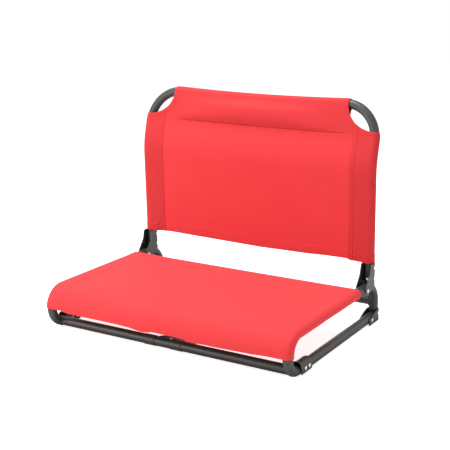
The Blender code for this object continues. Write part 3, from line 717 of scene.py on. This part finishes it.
def rivet(node, seat, outward, grip, body):
    """A turned rivet: a profile of radius and height spun about its axis, from domed head to set head.

    The dome is a quarter ellipse on a short rim, and the set head is dished in the middle.
    """
    dome = np.linspace(0, math.pi / 2, 9)
    head = np.stack([HEAD * np.sin(dome), HEAD_HEIGHT * (0.25 + 0.75 * np.cos(dome))], -1)
    rim = [(HEAD, HEAD_BREAK), (HEAD - HEAD_BREAK, 0.0), (SHANK, 0.0), (SHANK, -grip), (SET_HEAD, -grip)]
    tail_radius = [SET_HEAD + 0.0001, SET_HEAD - 0.0006, SHANK * 0.9, SHANK * 0.6, 0.0]
    tail_share = np.array([0.4, 0.9, 1.0, 0.6, 0.5])
    tail = np.stack([tail_radius, -grip - tail_share * SET_HEIGHT], -1)
    profile = np.concatenate([head, rim, tail])
    outward = unit(outward)
    across = unit(np.cross(outward, (0.0, 0.0, 1.0)))
    up = np.cross(outward, across)
    angle = round_angles(RIVET_SIDES)[:, None]
    spokes = across * np.cos(angle) + up * np.sin(angle)
    points = np.asarray(seat) + profile[:, :1, None] * spokes + profile[:, 1:, None] * outward
    piece(f"{node}_turned", [patch(points[::-1], closed_columns=True)], ZINC, body, [node])


def rivets(label, side):
    """A side's rivets: four across its tubes, domed heads outside, one set from behind and one inside."""
    for node in ("saddle_rivet_front", "saddle_rivet_rear", "rear_tube_rivet", "pivot_rivet"):
        _, y, z = middle(f"{label}_{node}")
        seat = (side * (HALF_SPAN + SADDLE_SEAT + GAP), y, z)
        rivet(f"{label}_{node}", seat, (side, 0.0, 0.0), 2 * (SADDLE_SEAT + GAP), "base")
    x, _, z = middle(f"{label}_rear_leg_rivet")
    low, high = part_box(f"{label}_rear_leg_rivet")
    seat_y = high[1] - HEAD_HEIGHT
    rivet(f"{label}_rear_leg_rivet", (x, seat_y, z), (0, 1, 0), seat_y - low[1] - SET_HEIGHT, "base")
    grip = SADDLE_SEAT + GAP + TUBE_RADIUS + GAP
    seat = leaned((x, PIVOT_Y + BACK_OFFSET - TUBE_RADIUS - GAP, RAIL_Z + WEB_RIVET_HEIGHT))
    forward = leaned((0, PIVOT_Y - 1, RAIL_Z)) - leaned((0, PIVOT_Y, RAIL_Z))
    rivet(f"{label}_hinge_web_rivet", seat, forward, grip, "back")


# ---------------------------------------------------------------- canvas

def sleeve_line(face, run, seam, setback, sag=0.0):
    """Half of a panel's cross-line: across the face, round the tube at its edge, and back to the seam.

    face gives places from the panel's middle to the tube's axis at run. The face is drawn in by setback
    at the seam, eases up to the tube's face side, wraps it, and the flap runs straight to the seam.
    Gives place across, height towards the face side from the tube's axis, and the outward normal.
    """
    inside = run - seam
    height = SLEEVE - setback * draw((run - face) / seam)
    height = height - sag * np.clip(1 - (face / inside) ** 2, 0, None)
    seam_height = SLEEVE - setback - LAYER
    leave = math.atan2(seam_height, -seam) + math.acos(SLEEVE / math.hypot(seam, seam_height)) - 2 * math.pi
    angle = np.linspace(math.pi / 2, leave, 30)[1:]
    wrap = np.stack([run + SLEEVE * np.cos(angle), SLEEVE * np.sin(angle)], -1)
    flap = np.linspace(wrap[-1], (inside, seam_height), 12)[1:]
    line = np.concatenate([np.stack([face, height], -1), wrap, flap])
    along = path_directions(line)
    return line, np.stack([-along[:, 1], along[:, 0]], -1)


def hem_layers(t, length):
    """Folds a panel under at both ends: where a place t lies on the panel, and its lift off the face.

    Past an end, t runs back under the face one layer lower. The doubled band stands prouder.
    """
    past = np.maximum(-t, t - length)
    inside = np.where(t < 0, -t, np.where(t > length, 2 * length - t, t))
    to_edge = np.minimum(inside, length - inside)
    step = 0.003
    lift = HEM_RISE * (1 - ease((to_edge - HEM_WIDTH) / step))
    return inside, lift - LAYER * ease(past / HEM_TURN), to_edge


def carried(line, at):
    """Points and face directions of a line in the middle plane, at distances along it.

    Past its ends the line runs straight on. A face direction is the line's own, turned a quarter.
    """
    length = running_length(line)
    within = np.clip(at, 0, length[-1])
    ahead = unit(along_line(within, length, path_directions(line)))
    point = along_line(within, length, line) + ahead * (at - within)[..., None]
    face = np.stack([0 * within, -ahead[..., 2], ahead[..., 1]], -1)
    return point, face


def stitches(line, up):
    """Thread stitches along a line on the cloth: beads, thick in the middle, bowed out along up.

    A bead's circles follow a half ellipse along it, and its middle line a parabola.
    """
    line = line + up * CLOTH / 2
    length = running_length(line)
    at = np.arange(STITCH_PITCH / 2, length[-1], STITCH_PITCH)
    centre = along_line(at, length, line)
    up = unit(along_line(at, length, up))
    ahead = unit(along_line(at, length, path_directions(line)))
    across = np.cross(up, ahead)
    share = np.linspace(-1, 1, 6)
    angle = round_angles(6)
    thick = THREAD * np.sqrt(1 - share ** 2)
    bead = centre[:, None, None] + ahead[:, None, None] * (share * STITCH / 2)[:, None, None]
    bead = bead + across[:, None, None] * (thick[:, None] * np.cos(angle))[..., None]
    rise = thick[:, None] * np.sin(angle) + THREAD * (1 - share[:, None] ** 2)
    return patch(bead + up[:, None, None] * rise[..., None], closed_columns=True)


def seat_panel():
    """Canvas over the rails: the sleeve line carried along the rail's axis, hemmed in front and behind."""
    face_across = np.linspace(0, HALF_SPAN, 90)
    half_line, half_normal = sleeve_line(face_across, HALF_SPAN, SEAT_SEAM, SEAT_SETBACK, SEAT_SAG)
    half_s = running_length(half_line)
    line, normal = both_halves(half_line, [-1, 1]), both_halves(half_normal, [-1, 1])
    s = both_halves(half_s, -1)
    seam_x = HALF_SPAN - SEAT_SEAM

    front = (0.0, FRONT_LEG_Y, RAIL_Z - FRONT_BEND - SEAT_APRON)
    rear = (0.0, PIVOT_Y - SEAT_REAR, RAIL_Z)
    rail = bent_path([front, (0.0, FRONT_LEG_Y, RAIL_Z), rear], [FRONT_BEND])
    length = running_length(rail)[-1]
    turned = np.concatenate([np.linspace(-HEM_SEAM, 0, 10)[:-1], np.linspace(0, length, 110),
                             np.linspace(length, length + HEM_SEAM, 10)[1:]])

    def cloth(t, line, normal):
        """Places t along the rail on points of the cross-line, raised by hems and seams."""
        seam_dip, seam_width, hem_dip, hem_width = 0.0001, 0.0025, 0.0003, 0.0015
        pucker_rise, pucker_width, pucker_pitch, pucker_slant = 0.00005, 0.010, 0.013, 90
        spare = 0.0002
        lowest = SLEEVE - SEAT_SETBACK - SEAT_SAG - spare
        inside, lift, to_edge = hem_layers(t, length)
        hang = np.interp(line[:, 0], HEM_ACROSS, HEM_HANG)
        point, face = carried(rail, inside[:, None] - hang * ease(1 - inside[:, None] / HANG_FADE))
        across, on_face = np.abs(line[:, 0]), line[:, 1] > lowest
        seam = bump(across - seam_x, seam_width) * on_face
        pucker = np.sin(inside[:, None] * 2 * math.pi / pucker_pitch + across * pucker_slant)
        pucker = pucker * bump(across - seam_x, pucker_width) * on_face
        groove = bump(to_edge - HEM_SEAM, hem_width)[:, None]
        relief = lift[:, None] - seam_dip * seam + pucker_rise * pucker - hem_dip * groove
        place = point + face * (line[:, 1] + normal[:, 1] * relief)[..., None]
        place[..., 0] += line[:, 0] + normal[:, 0] * relief
        return place

    points = cloth(turned, line, normal)
    v = running_length(points[:, len(s) // 2])
    uv = np.stack(np.broadcast_arrays(s, v[:, None]), -1)
    skin = patch(points, uv)
    # the seat's canvas gets none of the painted shade
    nowhere = 1.0                       # no deeper red on the seat
    canvas = new_material("polyester_canvas_seat", polyester_canvas, nowhere, 0.0, nowhere, 0.0)
    made = piece("seat_canvas", [skin], canvas, "base", ["seat_panel"], sheet=CLOTH)

    rows = []
    count = len(face_across)
    seam_height = np.interp(seam_x, face_across, half_line[:count, 1])
    t = np.linspace(SEAM_END, length - SEAM_END, 200)
    _, up = carried(rail, t)
    for side in SIDES.values():
        spot = np.array([[side * seam_x, seam_height]])
        rows.append(stitches(cloth(t, spot, np.array([[0.0, 1.0]]))[:, 0], up))
    short = 0.001
    on_face = np.abs(s) <= half_s[count - 1] - short
    for t in (np.array([HEM_SEAM]), np.array([length - HEM_SEAM])):
        path = cloth(t, line[on_face], normal[on_face])[0]
        _, up = carried(rail, t)
        rows.append(stitches(path, np.broadcast_to(up, path.shape)))
    sewn = piece("seat_stitching", rows, SEWING, "base")


def back_panel():
    """Canvas over the back frame: face, top sleeve and two side sleeves, joined edge to edge."""
    side_line = leaned(bent_path(back_line(), [KINK_BEND]))
    hem = BACK_HEM - BACK_FOOT
    length = running_length(side_line)[-1] - hem

    def on_back(t):
        """Points and face directions of the back's middle plane, at places t up from the hem."""
        return carried(side_line, t + hem)

    scoop = np.linspace(0, math.pi / 2, 22)[1:]
    scoop_t, seam_t = length - SCOOP_DROP, length - BACK_TOP_SEAM
    hem_rows_end, seam_rows_start = 0.018, seam_t - 0.008
    plain_t = np.concatenate([np.linspace(0, hem_rows_end, 14),
                              np.linspace(hem_rows_end, seam_rows_start, 46)[1:],
                              np.linspace(seam_rows_start, scoop_t, 28)[1:]])
    plain = len(plain_t)
    face_t = np.concatenate([plain_t, length - SCOOP_DROP * np.cos(scoop)])
    top_line, top_normal = sleeve_line(face_t, length, BACK_TOP_SEAM, BACK_SETBACK)
    half_width = np.full(len(top_line), HALF_SPAN - SCOOP_REACH)
    half_width[:plain] = HALF_SPAN - bend_drift(BACK_BEND - length + plain_t)
    half_width[plain:len(face_t)] = HALF_SPAN - SCOOP_REACH * np.sin(scoop)
    face_height = top_line[:len(face_t), 1]
    under_t = np.linspace(-HEM_SEAM, 0, 9)[:-1]
    under = len(under_t)
    top_line = np.concatenate([np.stack([under_t, np.full(under, top_line[0, 1])], -1), top_line])
    top_normal = np.concatenate([np.repeat(top_normal[:1], under, axis=0), top_normal])
    half_width = np.concatenate([np.full(under, HALF_SPAN), half_width])
    no_hem = 10.0                       # the panel's top has no hem: far off

    def relief(x, t, to_scoop):
        """Height of seams, hems, puckers and slack over the face, at places x across and t up from the hem.

        Seams are bells, doubled bands eased steps, puckers sines that fade by bells, and the slack over the
        top seam rises at once and dies away as a falling exponential.
        """
        doubled_rise, side_dip, top_dip, hem_dip = 0.0003, 0.0004, 0.0016, 0.0004
        fold_rise, pucker_rise, pouch_rise = 0.0009, 0.0002, 0.0090
        step, seam_width, second_share, top_width, top_fade = 0.0012, 0.0013, 0.7, 0.0014, 0.006
        fold_pitch, fold_slant, cross_share, cross_up, cross_in = 0.0075, 70, 0.6, 520, 260
        corner_up, corner_in, corner_width = 0.010, 0.018, 0.016
        pucker_pitch, pucker_slant, pucker_in, pucker_width = 0.016, 60, 0.005, 0.009
        scoop_hem, scoop_step = 0.007, 0.002
        pouch_x, pouch_half, pouch_low, pouch_more, pouch_end = -0.01, 0.19, 0.008, 0.022, 0.025
        across = np.abs(x)
        inside, lift, to_edge = hem_layers(t, no_hem)
        past_seam = across - HALF_SPAN + BACK_SEAM
        rise = t - seam_t
        doubled = ease(past_seam / step) * ease((BACK_DOUBLED - past_seam) / step)
        side_seam = bump(past_seam, seam_width) + second_share * bump(past_seam - BACK_DOUBLED, step)
        top_seam = bump(rise, top_width) * ease((TOP_SEAM_HALF - np.abs(x - TOP_SEAM_MIDDLE)) / top_fade)
        groove = bump(to_edge - HEM_SEAM, seam_width)
        corner = bump(inside - corner_up, corner_width) * bump(past_seam - corner_in, corner_width)
        fold = np.sin(past_seam * 2 * math.pi / fold_pitch + inside * fold_slant * np.sign(x))
        fold = fold + cross_share * np.sin(inside * cross_up + past_seam * cross_in)
        pucker = np.sin(inside * 2 * math.pi / pucker_pitch + across * pucker_slant)
        pucker = pucker * bump(past_seam - pucker_in, pucker_width)
        hump = np.clip(1 - ((x - pouch_x) / pouch_half) ** 2, 0, None)
        climb = np.clip(rise / (pouch_low + pouch_more * hump), 0, None)
        pouch = hump * climb * np.exp(1 - climb) * ease((length - t) / pouch_end)
        edge = HEM_RISE * (1 - ease((to_scoop - scoop_hem) / scoop_step))
        return (lift + edge + doubled_rise * doubled - side_dip * side_seam - top_dip * top_seam
                - hem_dip * groove + fold_rise * corner * fold + pucker_rise * pucker + pouch_rise * pouch)

    def face_cloth(x, line, normal, to_scoop):
        """Places on the face and top sleeve: across x, at rows of the top line.

        The face bellies back by a parabola across, which dies out towards the top seam.
        """
        facing, belly_fade = 0.3, 0.12
        t, height = line[..., 0], line[..., 1]
        front = normal[..., 1] > facing
        hang = np.interp(x, BACK_HEM_ACROSS, BACK_HEM_HANG) * ease(1 - np.abs(t) / HANG_FADE)
        sleeve_x = np.minimum(np.abs(x), HALF_SPAN - SCOOP_REACH)
        low = (top_bow(x) + bend_drift(sleeve_x - HALF_SPAN + BACK_BEND)) * ease((t - seam_t) / BACK_TOP_SEAM)
        point, face = on_back(np.abs(t) - hang - low)
        drawn = SLEEVE - (SLEEVE - height) * np.where(front, draw((HALF_SPAN - np.abs(x)) / BACK_SEAM), 1.0)
        belly = np.clip(1 - (x / seam_x) ** 2, 0, None) * ease((seam_t - t) / belly_fade)
        raised = relief(x, t, to_scoop) * front
        ahead = np.stack([0 * face[..., 0], face[..., 2], -face[..., 1]], -1)
        place = point + face * (drawn - BACK_SAG * belly + raised * normal[..., 1])[..., None]
        place = place + ahead * (raised * normal[..., 0])[..., None]
        place[..., 0] = x
        return place

    seam_x = HALF_SPAN - BACK_SEAM
    before_seam, after_seam = seam_x - 0.006, seam_x + 0.016
    columns = both_halves(np.concatenate([
        np.linspace(0, before_seam, 46), np.linspace(before_seam, after_seam, 34)[1:],
        np.linspace(after_seam, HALF_SPAN, 14)[1:],
    ]), -1)
    x = np.clip(columns, -half_width[:, None], half_width[:, None])
    rows = top_line[:, None] + 0 * x[..., None]
    normals = top_normal[:, None] + 0 * x[..., None]
    far, below_scoop = 1.0, 0.02
    around = np.hypot((HALF_SPAN - np.abs(x)) / SCOOP_REACH,
                      np.clip(length - rows[..., 0], 0, None) / SCOOP_DROP)
    by_scoop = (np.abs(x) > HALF_SPAN - 2 * SCOOP_REACH) & (rows[..., 0] > scoop_t - below_scoop)
    to_scoop = np.where(by_scoop, (around - 1) * SCOOP_DROP, far)
    points = face_cloth(x, rows, normals, to_scoop)
    v = running_length(top_line)
    v = v - v[under]
    uv = np.stack(np.broadcast_arrays(x, v[:, None]), -1)
    patches = [patch(points, uv)]

    face_across = np.linspace(0, HALF_SPAN, 40)
    side_half, side_normal = sleeve_line(face_across, HALF_SPAN, BACK_SEAM, BACK_SETBACK)
    tube_top = len(face_across) - 1     # where the face ends and the wrap starts
    s = running_length(side_half)[tube_top:]
    s = HALF_SPAN + s - s[0]
    wrap, wrap_normal = side_half[tube_top:], side_normal[tube_top:]
    sleeve_rows = under + plain
    t = top_line[:sleeve_rows, 0]
    inside, lift, _ = hem_layers(t, no_hem)
    point, face = on_back(inside)
    drift = bend_drift(BACK_BEND - length + inside)
    face_end = 0.004                    # the face's relief dies out this far round the tube
    fade = ease((s - s[0]) / face_end)
    raised = relief(HALF_SPAN + 0 * s, t[:, None], far) * (1 - fade) + lift[:, None] * fade
    for side in SIDES.values():
        place = point[:, None] + face[:, None] * (wrap[:, 1] + wrap_normal[:, 1] * raised)[..., None]
        place[..., 0] = side * (wrap[:, 0] - drift[:, None] + wrap_normal[:, 0] * raised * fade)
        place[:, 0] = points[:sleeve_rows, -1 if side > 0 else 0]
        sleeve_uv = np.stack(np.broadcast_arrays(side * s, v[:sleeve_rows, None]), -1)
        order = slice(None) if side > 0 else slice(None, None, -1)
        patches.append(patch(place[:, order], sleeve_uv[:, order]))
    # strength of the painted shade past the side seams and above the top seam
    side_shade, top_shade = 0.43, 0.34
    canvas = new_material("polyester_canvas_back", polyester_canvas, seam_x, side_shade, seam_t, top_shade)
    made = piece("back_canvas", patches, canvas, "back", ["back_panel"], sheet=CLOTH)

    def sew(x, t, to_scoop=far):
        """Stitches along a line on the face, given across and up."""
        line = np.stack([t, np.interp(t, face_t, face_height)], -1)
        path = face_cloth(x, line, np.broadcast_to([0.0, 1.0], line.shape), to_scoop + 0 * t)
        return stitches(path, on_back(t)[1])

    rows = []
    beside, scoop_seam, short = 0.0015, 0.006, 0.004
    up = np.linspace(SEAM_END, scoop_t - short, 200)
    around = np.linspace(0.06, math.pi / 2 - 0.02, 60)
    for side in SIDES.values():
        for across in (seam_x + beside, seam_x + BACK_DOUBLED - beside):
            rows.append(sew(side * across + 0 * up, up))
        rows.append(sew(side * (HALF_SPAN - (SCOOP_REACH + scoop_seam) * np.sin(around)),
                        length - (SCOOP_DROP + scoop_seam) * np.cos(around), scoop_seam))
    level = np.linspace(-1, 1, 200)
    rows.append(sew(TOP_SEAM_MIDDLE + (TOP_SEAM_HALF - short) * level, seam_t + beside + 0 * level))
    rows.append(sew((HALF_SPAN - short) * level, HEM_SEAM + 0 * level))
    sewn = piece("back_stitching", rows, SEWING, "back")


# ---------------------------------------------------------------- carry handle

def carry_handle():
    """Webbing looped round the front bar, run back along the floor and folded at 45 degrees into a grip.

    Each half is a ribbon: a path in a leg's plane, mirrored in the fold line once it passes it.
    """
    rear = BAR_Y + HANDLE_REACH - STRAP / 2
    tab_z = STRAP_Z + STRAP_LIFT
    tab_joint = np.array([TAB_JOINT, tab_z - BAR_Z])
    leave = math.atan2(tab_joint[1], tab_joint[0]) + math.acos(LOOP / np.linalg.norm(tab_joint))
    angle = np.linspace(leave, 1.5 * math.pi, 60)
    loop = np.stack([BAR_Y + LOOP * np.cos(angle), BAR_Z + LOOP * np.sin(angle)], -1)
    tab = np.linspace((BAR_Y + TAB_END, tab_z), (BAR_Y + TAB_JOINT, tab_z), 10)
    run = np.linspace((BAR_Y, STRAP_Z), (rear + HANDLE_SPACING / 2, STRAP_Z), 90)
    line = np.concatenate([tab, np.linspace(tab[-1], loop[0], 8)[1:-1], loop, run[1:]])
    a = running_length(line)
    w = np.linspace(-STRAP / 2, STRAP / 2, 15)
    beyond = line[:, :1] - rear
    fold_half = 0.0008
    on_run = (np.arange(len(line)) > len(line) - len(run))[:, None]
    past_fold = ease((beyond - w + fold_half) / (2 * fold_half)) * on_run
    turned = past_fold > 0.5
    x = np.where(turned, beyond, w) - HANDLE_SPACING / 2
    y = np.where(turned, rear + w, line[:, :1])
    z = line[:, 1:] + STRAP_LIFT * past_fold
    uv = np.stack(np.broadcast_arrays(w + 0 * a[:, None], a[:, None]), -1)
    patches = []
    for side in SIDES.values():
        points = np.stack([HANDLE_X - side * x, y, z], -1)
        order = slice(None) if side > 0 else slice(None, None, -1)
        patches.append(patch(points[:, order], uv[:, order]))
    piece("carry_strap", patches, WEB, "handle", ["carry_handle"], sheet=STRAP_SHEET)


# ---------------------------------------------------------------- assembly

for label, side in SIDES.items():
    side_frame(label, side)
    lower_tube(label, side)
    front_saddle(label, side)
    rear_saddle(label, side)
    hinge_saddle(label, side)
    rivets(label, side)
cross_bar("front_bar")
cross_bar("rear_bar")
back_frame()
seat_panel()
back_panel()
carry_handle()


# ---------------------------------------------------------------- studio

def matt_white_floor(tree):
    """White paint that keeps the shadow; the camera sees it lifted to the backdrop's white."""
    lifted = 0.80
    seen = add_node(tree, "LightPath", "Is Camera Ray", {})
    shown = add_node(tree, "Math", 0, {0: seen, 1: lifted}, operation="MULTIPLY")
    matt = add_node(tree, "BsdfDiffuse", 0, {"Color": linear("#F4F4F4")})
    glow = add_node(tree, "Emission", 0, {"Color": linear("#FFFFFF"), "Strength": shown})
    return add_node(tree, "AddShader", 0, {0: matt, 1: glow})


def studio_floor():
    """A level square far wider than the view, just under the feet."""
    extent, level = 6.0, -0.0003
    share = np.linspace(-extent, extent, 3)
    x, y = np.meshgrid(share, share)
    points, faces, _ = patch(np.stack([x, y, 0 * x + level], -1))
    mesh = bpy.data.meshes.new("floor")
    mesh.from_pydata(points.tolist(), [], faces.tolist())
    mesh.materials.append(new_material("matt_white_floor", matt_white_floor))
    floor = bpy.data.objects.new("floor", mesh)
    bpy.context.scene.collection.objects.link(floor)


def studio_world():
    """Even white surroundings: full white to the camera and in reflections, dimmer as light."""
    as_light, white = 0.45, linear("#FFFFFF")
    world = bpy.data.worlds.new("studio")
    world.use_nodes = True
    tree = world.node_tree
    tree.nodes.clear()
    ray = add_node(tree, "LightPath", "Is Camera Ray", {}).node.outputs
    seen = ray["Is Camera Ray"]
    for kind in ("Is Transmission Ray", "Is Glossy Ray"):
        seen = add_node(tree, "Math", 0, {0: seen, 1: ray[kind]}, operation="MAXIMUM")
    light = add_node(tree, "Background", 0, {"Color": white, "Strength": as_light})
    backdrop = add_node(tree, "Background", 0, {"Color": white, "Strength": 1.0})
    either = add_node(tree, "MixShader", 0, {0: seen, 1: light, 2: backdrop})
    add_node(tree, "OutputWorld", None, {"Surface": either})
    bpy.context.scene.world = world


def soft_light(name, place, aim, size, power):
    """A square area lamp turned to face a point."""
    lamp = bpy.data.lights.new(name, "AREA")
    lamp.size, lamp.energy = size, power
    made = bpy.data.objects.new(name, lamp)
    made.location = place
    back = unit(np.array(place) - np.array(aim))
    pitch = math.acos(back[2])
    made.rotation_euler = (pitch, 0.0, math.atan2(back[0], -back[1]))
    bpy.context.scene.collection.objects.link(made)


def camera():
    """The photograph's view: from the front and the right, a little above the seat."""
    lens = bpy.data.cameras.new("camera")
    looks_down, turned = 14.25, 30.8    # degrees
    lens.lens, lens.sensor_width = 82.0, 36.0
    made = bpy.data.objects.new("camera", lens)
    made.location = (1.0287, -1.68775, 0.7095)
    made.rotation_euler = (math.radians(90 - looks_down), 0.0, math.radians(turned))
    bpy.context.scene.collection.objects.link(made)
    bpy.context.scene.camera = made


studio_floor()
studio_world()
soft_light("key", place=(-0.9, -1.15, 0.45), aim=(0.0, 0.0, 0.2), size=1.0, power=7.6)
soft_light("top", place=(-0.60, -0.25, 2.2), aim=(0.0, 0.0, 0.1), size=1.2, power=56.0)
soft_light("side", place=(1.5, -0.1, 0.3), aim=(0.2, 0.0, 0.1), size=0.8, power=3.6)
camera()
bpy.context.scene.view_settings.view_transform = "Standard"
